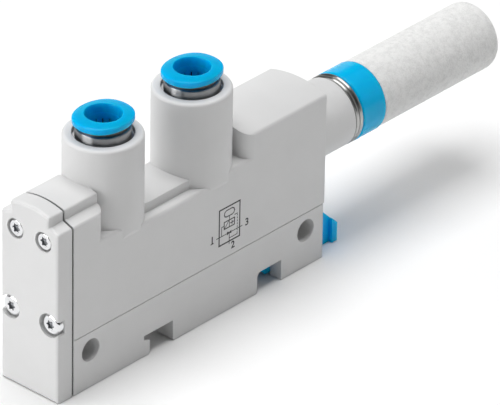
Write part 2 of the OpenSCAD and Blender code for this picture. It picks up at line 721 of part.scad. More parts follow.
// Release ring: an oval flange to press and a slotted collet below it.
module release_ring(x) {
    side_offset = flange_side_r - flange_w / 2;
    color("deepskyblue") translate([x, 0, 0]) difference() {
        union() {
            intersection() {
                flange_disc(flange_len / 2, collet_bore_r + lead_in, mouth_top);
                translate([0, side_offset, 0]) flange_disc(flange_side_r, flange_side_r - 1.5, mouth_top + cut);
                translate([0, -side_offset, 0]) flange_disc(flange_side_r, flange_side_r - 1.5, mouth_top + cut);
            }
            translate([0, 0, collet_bottom]) cylinder(r = collet_r, h = flange_bottom - collet_bottom + flange_t / 2);
            translate([0, 0, collet_bottom]) cylinder(r = foot_r, h = foot_h);
        }
        translate([0, 0, collet_bottom - cut]) cylinder(r = collet_bore_r, h = mouth_top - collet_bottom + 2 * cut);
        translate([0, 0, mouth_top - lead_in])
            cylinder(r1 = collet_bore_r, r2 = collet_bore_r + 2 * lead_in, h = 2 * lead_in);
        for (i = [0:collet_slots - 1]) rotate((i + 0.5) * 360 / collet_slots)
            translate([0, -collet_slot_w / 2, collet_bottom - cut])
                cube([2 * collet_r, collet_slot_w, flange_bottom - collet_solid - collet_bottom + cut]);
    }
}

// Toothed steel ring that grips the tube.
module grab_ring(x) {
    root_r = foot_r + 0.1;
    gap = 0.5;
    color("gray") translate([x, 0, 0]) difference() {
        rotate_extrude() polygon([[sleeve_ledge_r, tube_seal_top], [sleeve_ledge_r, grab_top], [root_r, grab_top],
            [tooth_tip_r, grab_top - tooth_fall], [tooth_tip_r, tube_seal_top - tooth_fall], [root_r, tube_seal_top]]);
        for (i = [0:teeth - 1]) rotate(i * 360 / teeth) translate([0, -gap / 2, insert_floor])
            cube([root_r, gap, insert_bore_depth]);
    }
}

// Lip seal that closes round the tube below the grab ring.
module tube_seal(x) {
    lip_r = tube_d / 2 - 0.1;
    root_r = foot_r + 0.3;
    color("dimgray") translate([x, 0, 0]) rotate_extrude() polygon([[insert_r, insert_floor],
        [insert_r, tube_seal_top], [root_r, tube_seal_top], [lip_r + 0.6, tube_seal_top - tooth_fall - 0.5],
        [lip_r, tube_seal_top - tooth_fall - 0.8], [lip_r + 0.3, insert_floor]]);
}

module supply_sleeve() { sleeve(supply_x); }
module supply_release_ring() { release_ring(supply_x); }
module supply_grab_ring() { grab_ring(supply_x); }
module supply_tube_seal() { tube_seal(supply_x); }
module vacuum_sleeve() { sleeve(vacuum_x); }
module vacuum_release_ring() { release_ring(vacuum_x); }
module vacuum_grab_ring() { grab_ring(vacuum_x); }
module vacuum_tube_seal() { tube_seal(vacuum_x); }

// O-ring on the ejector axis that fills the groove below its bore.
module o_ring(middle, bore_d, section_d) {
    color("dimgray") about_axis() translate([bore_d / 2 - section_d / 2, middle]) circle(d = section_d);
}

// Groove profile for an O-ring, cut into a plug from outside.
module ring_groove(middle, bore_d, section_d) {
    translate([bore_d / 2 - section_d, middle - 0.6 * section_d]) square([2 * section_d, 1.2 * section_d]);
}

jet_ring_x = jet_front + 2.6;
receiver_ring_x1 = receiver_shoulder + 2.6;
receiver_ring_x2 = socket_floor - 2.6;
silencer_ring_x = (socket_floor + collar_end - rim_depth) / 2;

module jet_nozzle() {
    body_r = jet_bore_d / 2 - nozzle_gap;
    seat = joint_x + jet_seat;
    flange_r = chamber_d / 2 - nozzle_gap;
    flange = 1;
    inlet_r = 1.8;
    exit_r = throat_d / 2 + 0.2;
    throat_x = seat - 4;
    color("goldenrod") about_axis() difference() {
        polygon([[0, jet_front], [body_r, jet_front], [body_r, seat], [flange_r, seat],
            [flange_r, seat + flange], [1.7, seat + flange], [exit_r + 0.35, jet_end], [0, jet_end]]);
        polygon([[0, jet_front - cut], [inlet_r, jet_front - cut], [inlet_r, throat_x - 4], [throat_d / 2, throat_x],
            [throat_d / 2, throat_x + 1], [exit_r, jet_end + 0.01], [0, jet_end + 0.01]]);
        ring_groove(jet_ring_x, jet_bore_d, nozzle_ring_d);
    }
}

module jet_o_ring() { o_ring(jet_ring_x, jet_bore_d, nozzle_ring_d); }

module receiver_nozzle() {
    flange_r = receiver_bore_d / 2 - nozzle_gap;
    waist_r = flange_r - 1;
    nose_r = 2.2;
    throat_r = receiver_throat_d / 2;
    flange = 4.6;
    color("silver") about_axis() difference() {
        polygon([[0, receiver_front], [nose_r - 0.5, receiver_front], [nose_r, receiver_front + 1.2],
            [nose_r, receiver_shoulder], [flange_r, receiver_shoulder], [flange_r, receiver_shoulder + flange],
            [waist_r, receiver_shoulder + flange + 1], [waist_r, socket_floor - flange - 1],
            [flange_r, socket_floor - flange], [flange_r, socket_floor], [0, socket_floor]]);
        polygon([[0, receiver_front - 0.01], [throat_r + 0.7, receiver_front - 0.01], [throat_r, receiver_front + 2.5],
            [throat_r, receiver_front + 8], [throat_r + 1.3, socket_floor + 0.01], [0, socket_floor + 0.01]]);
        ring_groove(receiver_ring_x1, receiver_bore_d, nozzle_ring_d);
        ring_groove(receiver_ring_x2, receiver_bore_d, nozzle_ring_d);
    }
}

module receiver_front_o_ring() { o_ring(receiver_ring_x1, receiver_bore_d, nozzle_ring_d); }
module receiver_rear_o_ring() { o_ring(receiver_ring_x2, receiver_bore_d, nozzle_ring_d); }

// Valve parts, from the port forwards
valve_floor = joint_x + valve_depth;
valve_face = valve_floor - 0.05;
disc_back = valve_face - valve_seal_t;
disc_front = disc_back - disc_t;
boss_face = joint_x + boss_reach;

module valve_plunger() {
    pin_front = cover_front + 1.2 + valve_travel + 0.2;
    pin_back = valve_floor + 3;
    color("ivory") about_axis() {
        translate([0, pin_front]) square([stem_d / 2, pin_back - pin_front]);
        translate([0, disc_front]) square([disc_d / 2, disc_t]);
    }
}

module valve_seal() {
    color("dimgray") about_axis() translate([stem_d / 2, disc_back])
        square([disc_d / 2 - stem_d / 2, valve_seal_t]);
}

// Open coil along +Z: rings of six points that follow the helix.
module coil(outer_d, wire_d, len, turns) {
    steps = 16;
    sides = 6;
    rings = turns * steps;
    r = (outer_d - wire_d) / 2;
    climb = (len - wire_d) / rings;
    points = [for (i = [0:rings], k = [0:sides - 1])
        let (turn = i * 360 / steps, tilt = k * 360 / sides, reach = r + wire_d / 2 * cos(tilt))
        [reach * cos(turn), reach * sin(turn), wire_d / 2 + i * climb + wire_d / 2 * sin(tilt)]];
    walls = [for (i = [0:rings - 1], k = [0:sides - 1])
        let (a = i * sides + k, b = i * sides + (k + 1) % sides)
        [a, b, b + sides, a + sides]];
    front_cap = [for (k = [sides - 1:-1:0]) k];
    back_cap = [for (k = [0:sides - 1]) rings * sides + k];
    polyhedron(points, concat(walls, [front_cap, back_cap]), convexity = 10);
}

module valve_spring() {
    color("silver") translate([boss_face, 0, axis_h]) rotate([0, 90, 0])
        coil(stem_d + 2.4, valve_wire_d, disc_front - boss_face, 4);
}

// Metal rim on the exhaust collar, rolled into two beads, with a tube pressed into the collar.
module silencer_rim() {
    bead_r = 0.23 * rim_t;
    bore_r = socket_d / 2;
    color("silver") about_axis() {
        translate([bore_r, collar_end - rim_depth]) square([rim_wall, rim_depth + rim_t]);
        translate([bore_r, collar_end]) square([rim_d / 2 - bore_r - rim_groove, rim_t]);
        for (x = [collar_end + bead_r, rim_end - bead_r]) translate([rim_d / 2 - bead_r, x]) circle(r = bead_r);
    }
}

// Blue collar of the silencer: its plug sits in the exhaust collar and its cup holds the tube.
module silencer_collar() {
    r = band_edge_r;
    cup_r = band_d / 2 - 0.9;
    color("deepskyblue") about_axis() difference() {
        union() {
            translate([0, socket_floor]) square([plug_r, rim_end - socket_floor + cut]);
            translate([0, rim_end]) square([band_d / 2 - r, band_len]);
            translate([0, rim_end + r]) square([band_d / 2, band_len - 2 * r]);
            for (x = [rim_end + r, band_end - r]) translate([band_d / 2 - r, x]) circle(r = r);
        }
        translate([0, socket_floor - cut]) square([plug_bore_d / 2, band_end - socket_floor + 2 * cut]);
        translate([0, band_end - silencer_seat]) square([cup_r, silencer_seat + cut]);
        ring_groove(silencer_ring_x, socket_d, silencer_ring_d);
    }
}

module silencer_o_ring() { o_ring(silencer_ring_x, socket_d, silencer_ring_d); }

// Porous tube with a closed, rounded end.
module silencer_tube() {
    cup_r = band_d / 2 - 0.9;
    r = silencer_d / 2;
    bore_r = cup_r - silencer_wall + 0.5;
    color("white") about_axis() difference() {
        union() {
            translate([0, band_end - silencer_seat]) square([cup_r, silencer_seat + cut]);
            translate([0, band_end]) square([r, silencer_len - silencer_end_r]);
            translate([0, band_end]) square([r - silencer_end_r, silencer_len]);
            translate([r - silencer_end_r, silencer_end - silencer_end_r]) circle(r = silencer_end_r);
        }
        translate([0, band_end - silencer_seat - cut])
            square([bore_r, silencer_seat + silencer_len - 2 * silencer_wall + cut]);
    }
}

module rail_latch() {
    nose_x = latch_wall - nose_reach;
    tab_end = lower_end + tab_reach;
    tab_front = upper_end + 0.3;
    grip_front = tab_end - grip_t;
    tab_bottom = 0.05;
    tab_profile = [[tab_front, tab_bottom], [tab_end, tab_bottom], [tab_end, tab_h - tab_slope],
        [tab_end - tab_slope, tab_h], [tab_front, tab_h]];
    color("deepskyblue") difference() {
        union() {
            across(latch_w) polygon([[nose_x, nose_top], [nose_x, latch_bottom + nose_chamfer],
                [nose_x + nose_chamfer, latch_bottom], [tab_front + cut, latch_bottom],
                [tab_front + cut, latch_top], [latch_wall + latch_gap, latch_top],
                [latch_wall + latch_gap, nose_top]]);
            across(latch_w) polygon(tab_profile);
            intersection() {
                across(grip_w) polygon(tab_profile);
                translate([grip_front, -grip_w, -cut]) cube([2 * grip_t, 2 * grip_w, tab_h + 2 * cut]);
            }
            translate([guide_start + 1, -latch_w / 2 - guide_reach, guide_z])
                cube([lower_end - guide_start - 1.2, latch_w + 2 * guide_reach, guide_h]);
        }
        // Slot for the spring and the housing's lug
        translate([slot_front, -slot_half, slot_floor])
            cube([lug_x + lug_t + 0.05 - slot_front, 2 * slot_half, latch_top]);
    }
}

module latch_spring() {
    color("silver") translate([slot_front, 0, slot_floor + latch_spring_d / 2 + 0.1]) rotate([0, 90, 0])
        coil(latch_spring_d, latch_wire_d, lug_x - slot_front, 5);
}

upper_housing();
lower_housing();
joint_seal();
end_cover();
cover_gasket();
cover_screw_1();
cover_screw_2();
cover_screw_3();
cover_screw_4();
supply_sleeve();
supply_release_ring();
supply_grab_ring();
supply_tube_seal();
vacuum_sleeve();
vacuum_release_ring();
vacuum_grab_ring();
vacuum_tube_seal();
jet_nozzle();
jet_o_ring();
receiver_nozzle();
receiver_front_o_ring();
receiver_rear_o_ring();
valve_plunger();
valve_seal();
valve_spring();
silencer_rim();
silencer_collar();
silencer_o_ring();
silencer_tube();
rail_latch();
latch_spring();
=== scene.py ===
# Vacuum ejector in block form: a grey moulded housing with two push-in
# fittings, a screwed end cover, a blue rail latch and a white exhaust silencer.
import json
import math

import bmesh
import bpy
from mathutils import Matrix, Vector


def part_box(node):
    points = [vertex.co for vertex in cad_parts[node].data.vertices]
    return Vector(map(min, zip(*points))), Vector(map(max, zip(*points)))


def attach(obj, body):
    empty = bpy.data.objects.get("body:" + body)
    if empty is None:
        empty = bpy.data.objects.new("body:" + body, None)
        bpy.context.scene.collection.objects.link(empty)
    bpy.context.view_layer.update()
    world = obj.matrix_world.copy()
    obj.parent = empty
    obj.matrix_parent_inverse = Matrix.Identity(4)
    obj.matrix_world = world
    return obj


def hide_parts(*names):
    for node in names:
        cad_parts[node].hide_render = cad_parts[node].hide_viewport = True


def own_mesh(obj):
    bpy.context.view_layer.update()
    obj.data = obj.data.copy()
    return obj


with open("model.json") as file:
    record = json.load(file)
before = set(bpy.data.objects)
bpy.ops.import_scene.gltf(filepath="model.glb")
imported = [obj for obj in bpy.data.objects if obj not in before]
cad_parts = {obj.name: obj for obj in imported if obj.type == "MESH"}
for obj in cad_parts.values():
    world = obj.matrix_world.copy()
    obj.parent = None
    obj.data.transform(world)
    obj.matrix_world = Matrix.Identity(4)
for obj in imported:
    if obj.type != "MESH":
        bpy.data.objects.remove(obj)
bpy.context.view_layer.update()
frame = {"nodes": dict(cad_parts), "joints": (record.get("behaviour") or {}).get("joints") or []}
nodes = frame["nodes"]
scene = bpy.context.scene
scene.view_settings.view_transform = "Standard"


# Camera: a long lens that looks down on the cover end and the long side.
# It stands 1.24 m away, so that parallel edges stay nearly parallel.
def heading(azimuth, elevation):
    """Direction from the ejector, with azimuth 0 at -Y and 90 at +X, in degrees."""
    a, e = math.radians(azimuth), math.radians(elevation)
    return Vector((math.sin(a) * math.cos(e), -math.cos(a) * math.cos(e), math.sin(e)))


camera_azimuth = -47.684
camera_elevation = 30.71
roll = math.radians(0.755)
aim = Vector((0.0071, 0, 0.020))
distance = 1.2437
back = heading(camera_azimuth, camera_elevation)
level_right = heading(camera_azimuth + 90, 0)
level_up = back.cross(level_right)
right = math.cos(roll) * level_right + math.sin(roll) * level_up
up = -math.sin(roll) * level_right + math.cos(roll) * level_up
lens = bpy.data.cameras.new("camera")
lens.sensor_fit = "HORIZONTAL"
lens.sensor_width = 36
lens.lens = 496.7
lens.shift_x = 0.10264
lens.shift_y = -0.0005
lens.clip_end = 20
camera = bpy.data.objects.new("camera", lens)
camera.matrix_world = (
    Matrix.Translation(aim + distance * back) @ Matrix((right, up, back)).transposed().to_4x4())
scene.collection.objects.link(camera)
scene.camera = camera


# Floor: a wide sheet of plain white studio paper that the ejector stands on. It
# is matt, and its fibres show as the faintest change of tone.
def linear(colour_hex):
    """Linear red, green, blue and alpha of an sRGB hex colour."""
    steps = [int(colour_hex[i:i + 2], 16) / 255 for i in (0, 2, 4)]
    return [c / 12.92 if c <= 0.04045 else ((c + 0.055) / 1.055) ** 2.4 for c in steps] + [1]


def add(tree, kind, settings=None, **links):
    """Adds a node. Settings give its attributes, or values by socket name or number.
    Links give sources by socket name, or by number as n0, n1 and so on."""
    node = tree.nodes.new("ShaderNode" + kind)
    for key, value in (settings or {}).items():
        if isinstance(key, int) or key in node.inputs:
            node.inputs[key].default_value = value
        else:
            setattr(node, key, value)
    for key, source in links.items():
        socket = node.inputs[int(key[1:])] if key[1:].isdigit() else node.inputs[key.replace("_", " ")]
        tree.links.new(source, socket)
    return node


def new_material(name):
    """Empty node material and its tree."""
    material = bpy.data.materials.new(name)
    material.use_nodes = True
    material.node_tree.nodes.clear()
    return material, material.node_tree


def new_piece(name, mesh):
    """Object of a mesh, linked to the scene."""
    piece = bpy.data.objects.new(name, mesh)
    scene.collection.objects.link(piece)
    return piece


floor_reach = 4
floor_level = -0.0001                # just under the foot, so that the two never share a plane
sheet = bpy.data.meshes.new("floor")
sheet.from_pydata([(x * floor_reach, y * floor_reach, floor_level)
                   for x, y in ((-1, -1), (1, -1), (1, 1), (-1, 1))], [], [(0, 1, 2, 3)])
floor = new_piece("floor", sheet)
paper, tree = new_material("studio paper, white")
paper_fibre = 0.4e-3
place = add(tree, "TexCoord")
fibre = add(tree, "TexNoise", {"Scale": 1 / paper_fibre, "Detail": 3}, Vector=place.outputs["Object"])
shade = add(tree, "Mix", {"data_type": "RGBA", 6: linear("F8F8F8"), 7: linear("FBFBFB")},
            n0=fibre.outputs[0])
skin = add(tree, "BsdfDiffuse", Color=shade.outputs[2])
add(tree, "OutputMaterial", Surface=skin.outputs[0])
sheet.materials.append(paper)


# Studio light: a broad soft lamp overhead, one low at the cover end and weak
# ones over the silencer and towards the latch. The room is dark, except for a
# white backdrop low down behind the ejector.
def soft_lamp(name, azimuth, elevation, size, power):
    """Square area lamp on a circle round the ejector, facing it."""
    lamp_distance = 1.1
    target = Vector((0, 0, 0.02))
    light = bpy.data.lights.new(name, "AREA")
    light.size = size
    light.energy = power
    lamp = bpy.data.objects.new(name, light)
    way = heading(azimuth, elevation)
    turn = way.to_track_quat("Z", "Y").to_matrix().to_4x4()
    lamp.matrix_world = Matrix.Translation(target + lamp_distance * way) @ turn
    scene.collection.objects.link(lamp)


soft_lamp("overhead lamp", 180, 85, 0.9, 12.9)
soft_lamp("cover lamp", -112, 10, 0.8, 9.2)
soft_lamp("silencer lamp", 65, 40, 1.5, 2.0)
soft_lamp("latch lamp", 30, 10, 1.0, 0.6)
surround = bpy.data.worlds.new("surround")
scene.world = surround
surround.use_nodes = True
tree = surround.node_tree
tree.nodes.clear()
glow_way = heading(87, 12)           # the silencer end is a little brighter than the rest
glow_levels = (0.01, 0.04)
backdrop_way = heading(142, 2)
backdrop_level = 0.8
view = add(tree, "TexCoord")
facing = add(tree, "VectorMath", {"operation": "DOT_PRODUCT", 1: glow_way},
             n0=view.outputs["Generated"])
glow = add(tree, "MapRange", {"interpolation_type": "SMOOTHSTEP", "From Min": -0.2, "From Max": 0.95,
                              "To Min": glow_levels[0], "To Max": glow_levels[1]},
           Value=facing.outputs["Value"])
behind = add(tree, "VectorMath", {"operation": "DOT_PRODUCT", 1: backdrop_way},
             n0=view.outputs["Generated"])
backdrop = add(tree, "MapRange", {"interpolation_type": "SMOOTHSTEP", "From Min": 0.88, "From Max": 0.96,
                                  "To Max": backdrop_level}, Value=behind.outputs["Value"])
both = add(tree, "Math", {"operation": "ADD"}, n0=glow.outputs[0], n1=backdrop.outputs[0])
air = add(tree, "Background", {"Color": linear("FFFFFF")}, Strength=both.outputs[0])
add(tree, "OutputWorld", Surface=air.outputs[0])


# Housing and end cover: light grey glass-filled polyamide, injection moulded.
# The mould's etched grain makes it satin, and its edges are softly broken. A
# lighter grey along the edges is a painted highlight.
def dress(material, *names):
    """Gives carried-over solids their finish."""
    for name in names:
        mesh = nodes[name].data
        mesh.materials.clear()
        mesh.materials.append(material)


housing_plastic, tree = new_material("moulded glass-filled polyamide, light grey")
etch_grain = 0.15e-3                 # coarser than the real etch, so that it shows
flow_length = 6e-3
edge_break = 0.2e-3
place = add(tree, "TexCoord")
etch = add(tree, "TexNoise", {"Scale": 1 / etch_grain, "Detail": 3, "Roughness": 0.6},
           Vector=place.outputs["Object"])
flow = add(tree, "TexNoise", {"Scale": 1 / flow_length, "Detail": 2}, Vector=place.outputs["Object"])
tone = add(tree, "Mix", {"data_type": "RGBA", 6: linear("D5D5D5"), 7: linear("DBDBDB")},
           n0=flow.outputs[0])
corner = add(tree, "Bevel", {"samples": 6, "Radius": edge_break})
face = add(tree, "NewGeometry")
bend = add(tree, "VectorMath", {"operation": "DOT_PRODUCT"}, n0=corner.outputs[0],
           n1=face.outputs["Normal"])
# Painted highlight: the colour turns a lighter grey along every edge.
painted_edge_highlight = add(tree, "MapRange", {"From Min": 1.0, "From Max": 0.75, "To Max": 0.6},
             Value=bend.outputs["Value"])
paint = add(tree, "Mix", {"data_type": "RGBA", 7: linear("E6E6E6")}, n0=painted_edge_highlight.outputs[0],
            n6=tone.outputs[2])
shine = add(tree, "MapRange", {"To Min": 0.38, "To Max": 0.56}, Value=etch.outputs[0])
bump = add(tree, "Bump", {"Strength": 0.15, "Distance": 0.00003}, Height=etch.outputs[0],
           Normal=corner.outputs[0])
skin = add(tree, "BsdfPrincipled", {"IOR": 1.5}, Base_Color=paint.outputs[2], Roughness=shine.outputs[0],
           Normal=bump.outputs[0])
add(tree, "OutputMaterial", Surface=skin.outputs[0])
dress(housing_plastic, "upper_housing", "lower_housing", "end_cover")


# Printed symbol: the flow diagram on the long side, with plain port numbers,
# pad-printed in charcoal ink. Sizes run from the cover joint and the base.
ink, tree = new_material("pad-printed ink, charcoal")
ink_grain = 0.1e-3
place = add(tree, "TexCoord")
patch = add(tree, "TexNoise", {"Scale": 1 / ink_grain, "Detail": 2}, Vector=place.outputs["Object"])
tone = add(tree, "Mix", {"data_type": "RGBA", 6: linear("242426"), 7: linear("3A3A3C")},
           n0=patch.outputs[0])
skin = add(tree, "BsdfPrincipled", {"Roughness": 0.5}, Base_Color=tone.outputs[2])
add(tree, "OutputMaterial", Surface=skin.outputs[0])
joint_x, side_y, base_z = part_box("lower_housing")[0]
ink_height = 0.008e-3
bold, medium, fine = 0.3, 0.22, 0.165    # line widths, in millimetres as all of the symbol


def on_side(x, z, height=ink_height):
    """Point on the long side, from millimetres behind the cover joint and above the base."""
    return Vector((joint_x + x / 1000, side_y - height, base_z + z / 1000))


def print_shape(mesh, outline):
    """Adds a flat inked shape, given as points round it, a hair above the side."""
    front = [mesh.verts.new(on_side(x, z)) for x, z in outline]
    rear = [mesh.verts.new(on_side(x, z, 0)) for x, z in outline]
    mesh.faces.new(front)
    mesh.faces.new(rear[::-1])
    for i in range(len(outline)):
        j = (i + 1) % len(outline)
        mesh.faces.new((front[j], front[i], rear[i], rear[j]))


def print_line(mesh, start, end, width):
    """Adds an inked line with square ends."""
    start, end = Vector(start), Vector(end)
    along = (end - start).normalized() * width / 2
    across = Vector((-along.y, along.x))
    start, end = start - along, end + along
    print_shape(mesh, [start - across, end - across, end + across, start + across])


def finish_print(name, mesh):
    """Turns an inked mesh into a piece on the housing."""
    bmesh.ops.recalc_face_normals(mesh, faces=mesh.faces)
    data = bpy.data.meshes.new(name)
    mesh.to_mesh(data)
    mesh.free()
    data.materials.append(ink)
    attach(new_piece(name, data), "housing")


def box_corners(x0, z0, x1, z1):
    """Corners of a printed box, in order round it."""
    return [(x0, z0), (x1, z0), (x1, z1), (x0, z1)]


symbol = bmesh.new()
loops = (
    (box_corners(37.9, 14.5, 43.35, 21.9), bold),        # frame, valve and reservoir
    (box_corners(39.2, 17.5, 41.95, 18.95), medium),
    ([(39.85, 19.88), (41.3, 19.88), (41.75, 20.07), (41.93, 20.5), (41.75, 21.0), (41.3, 21.22),
      (39.85, 21.22), (39.38, 21.0), (39.2, 20.5), (39.38, 20.07)], medium),
)
for corners, width in loops:
    for i, point in enumerate(corners):
        print_line(symbol, corners[i - 1], point, width)
lines = (
    ((37.2, 16.3), (44.0, 16.3), fine),      # flow from port 1 to port 3
    ((40.6, 16.3), (40.6, 13.95), fine),     # vacuum at port 2
    ((40.6, 15.15), (42.7, 15.15), fine),    # pilot line, at its lower and upper end
    ((42.7, 19.5), (42.0, 19.5), fine),
    ((38.55, 16.3), (38.55, 18.2), fine),    # supply to the valve
    ((38.55, 18.2), (39.2, 18.2), fine),
    ((40.6, 18.95), (40.6, 19.88), fine),    # valve to the reservoir
    ((40.58, 17.5), (40.58, 18.95), fine),   # the valve's two fields and what is drawn in them
    ((39.4, 17.7), (40.35, 18.75), fine),
    ((40.8, 18.2), (41.75, 18.2), fine),
    ((41.3, 17.9), (41.3, 18.5), medium),
    ((35.75, 15.8), (36.35, 15.8), medium),  # foot of the number 1
)
for start, end, width in lines:
    print_line(symbol, start, end, width)
# The ejector's throat, drawn as two wedges that meet at their narrow ends.
print_shape(symbol, [(40.0, 15.9), (40.6, 16.2), (40.6, 16.4), (40.0, 16.7)])
print_shape(symbol, [(40.6, 16.2), (41.15, 15.95), (41.15, 16.65), (40.6, 16.4)])
finish_print("printed_symbol", symbol)


# Pilot line of the symbol: a row of equal dashes in the same ink. Each is a flat
# box that stands a hair proud of the side.
dash_pitch = 0.62
dash_length = 0.4
dash_count = 7
dashes = bpy.data.node_groups.new("row of dashes", "GeometryNodeTree")
dashes.interface.new_socket("Geometry", in_out="INPUT", socket_type="NodeSocketGeometry")
dashes.interface.new_socket("Count", in_out="INPUT", socket_type="NodeSocketInt")
for name in ("Pitch", "Length", "Width", "Height"):
    dashes.interface.new_socket(name, in_out="INPUT", socket_type="NodeSocketFloat")
dashes.interface.new_socket("Geometry", in_out="OUTPUT", socket_type="NodeSocketGeometry")
inlet = dashes.nodes.new("NodeGroupInput")
outlet = dashes.nodes.new("NodeGroupOutput")
step = dashes.nodes.new("ShaderNodeCombineXYZ")
row = dashes.nodes.new("GeometryNodeMeshLine")
size = dashes.nodes.new("ShaderNodeCombineXYZ")
dash = dashes.nodes.new("GeometryNodeMeshCube")
spread = dashes.nodes.new("GeometryNodeInstanceOnPoints")
real = dashes.nodes.new("GeometryNodeRealizeInstances")
coat = dashes.nodes.new("GeometryNodeSetMaterial")
coat.inputs["Material"].default_value = ink
for source, target in (
        (inlet.outputs["Pitch"], step.inputs["Z"]), (inlet.outputs["Count"], row.inputs["Count"]),
        (step.outputs[0], row.inputs["Offset"]), (inlet.outputs["Width"], size.inputs["X"]),
        (inlet.outputs["Height"], size.inputs["Y"]), (inlet.outputs["Length"], size.inputs["Z"]),
        (size.outputs[0], dash.inputs["Size"]), (row.outputs[0], spread.inputs["Points"]),
        (dash.outputs["Mesh"], spread.inputs["Instance"]), (spread.outputs[0], real.inputs[0]),
        (real.outputs[0], coat.inputs["Geometry"]), (coat.outputs[0], outlet.inputs["Geometry"])):
    dashes.links.new(source, target)
maker = new_piece("dash_maker", bpy.data.meshes.new("dash_maker"))
modifier = maker.modifiers.new("row of dashes", "NODES")
modifier.node_group = dashes
values = {"Count": dash_count, "Pitch": dash_pitch / 1000, "Length": dash_length / 1000,
          "Width": fine / 1000, "Height": ink_height}
for item in dashes.interface.items_tree:
    if item.in_out == "INPUT" and item.name in values:
        modifier[item.identifier] = values[item.name]
made = maker.evaluated_get(bpy.context.evaluated_depsgraph_get())
pilot_mesh = bpy.data.meshes.new_from_object(made)
pilot_mesh.name = "printed_pilot_line"
bpy.data.objects.remove(maker)
first_dash = on_side(42.7, 15.45, ink_height / 2)
pilot_mesh.transform(Matrix.Translation(first_dash))
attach(new_piece("printed_pilot_line", pilot_mesh), "housing")


# Port numbers 1, 2 and 3: plain numerals in the same ink, printed beside the
# ends of the symbol's lines.
numeral_height = 1.5
cap_share = 0.73                     # of the letter size
swell = 0.05e-3                      # thickens the strokes
for numeral, x, z in (("1", 36.05, 16.5), ("2", 41.6, 13.3), ("3", 45.3, 16.5)):
    name = "printed_number_" + numeral
    letters = bpy.data.curves.new(name, "FONT")
    letters.body = numeral
    letters.size = numeral_height / cap_share / 1000
    letters.align_x = "CENTER"
    letters.align_y = "CENTER"
    letters.offset = swell
    letters.extrude = ink_height / 2
    written = new_piece(name + "_text", letters)
    made = written.evaluated_get(bpy.context.evaluated_depsgraph_get())
    mesh = bpy.data.meshes.new_from_object(made)
    mesh.name = name
    bpy.data.objects.remove(written)
    place = Matrix.Translation(on_side(x, z, ink_height / 2))
    mesh.transform(place @ Matrix.Rotation(math.pi / 2, 4, "X"))
    mesh.materials.clear()
    mesh.materials.append(ink)
    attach(new_piece(name, mesh), "housing")


# Seals and gasket: black nitrile rubber, pressed in a mould, with a dull
# finely blasted skin.
rubber, tree = new_material("moulded nitrile rubber, black")
blast_grain = 0.2e-3
place = add(tree, "TexCoord")
blast = add(tree, "TexNoise", {"Scale": 1 / blast_grain, "Detail": 3}, Vector=place.outputs["Object"])
tone = add(tree, "Mix", {"data_type": "RGBA", 6: linear("202123"), 7: linear("2E2F31")},
           n0=blast.outputs[0])
shine = add(tree, "MapRange", {"To Min": 0.5, "To Max": 0.75}, Value=blast.outputs[0])
bump = add(tree, "Bump", {"Strength": 0.3, "Distance": 0.00003}, Height=blast.outputs[0])
skin = add(tree, "BsdfPrincipled", {"IOR": 1.52}, Base_Color=tone.outputs[2], Roughness=shine.outputs[0],
           Normal=bump.outputs[0])
add(tree, "OutputMaterial", Surface=skin.outputs[0])
dress(rubber, "joint_seal", "supply_tube_seal", "vacuum_tube_seal", "jet_o_ring",
      "receiver_front_o_ring", "receiver_rear_o_ring", "valve_seal", "silencer_o_ring")


# Cover gasket: a die-cut sheet of the same rubber, held between cover and
# housing. Its upper edge lies a little below the crown.
def carried_copy(name):
    """Merged and editable copy of a carried-over solid."""
    shape = bmesh.new()
    shape.from_mesh(nodes[name].data)
    bmesh.ops.remove_doubles(shape, verts=shape.verts, dist=1e-7)
    return shape


def finish_moulding(name, shape, body, node, *materials):
    """Turns a shape into a smooth piece on its body, in place of a carried-over solid."""
    bmesh.ops.recalc_face_normals(shape, faces=shape.faces)
    mesh = bpy.data.meshes.new(name)
    shape.to_mesh(mesh)
    shape.free()
    mesh.shade_smooth()
    mesh.set_sharp_from_angle(angle=math.radians(35))
    for material in materials:
        mesh.materials.append(material)
    piece = new_piece(name, mesh)
    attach(piece, body)
    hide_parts(node)
    return piece


crown_gap = 0.35e-3
crown_depth = 2.6e-3
crown_half_width = 5.5e-3
gasket_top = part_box("cover_gasket")[1][2]
gasket = carried_copy("cover_gasket")
for vertex in gasket.verts:
    if vertex.co.z > gasket_top - crown_depth and abs(vertex.co.y) < crown_half_width:
        vertex.co.z -= crown_gap
finish_moulding("cover_gasket_cut", gasket, "housing", "cover_gasket", rubber)


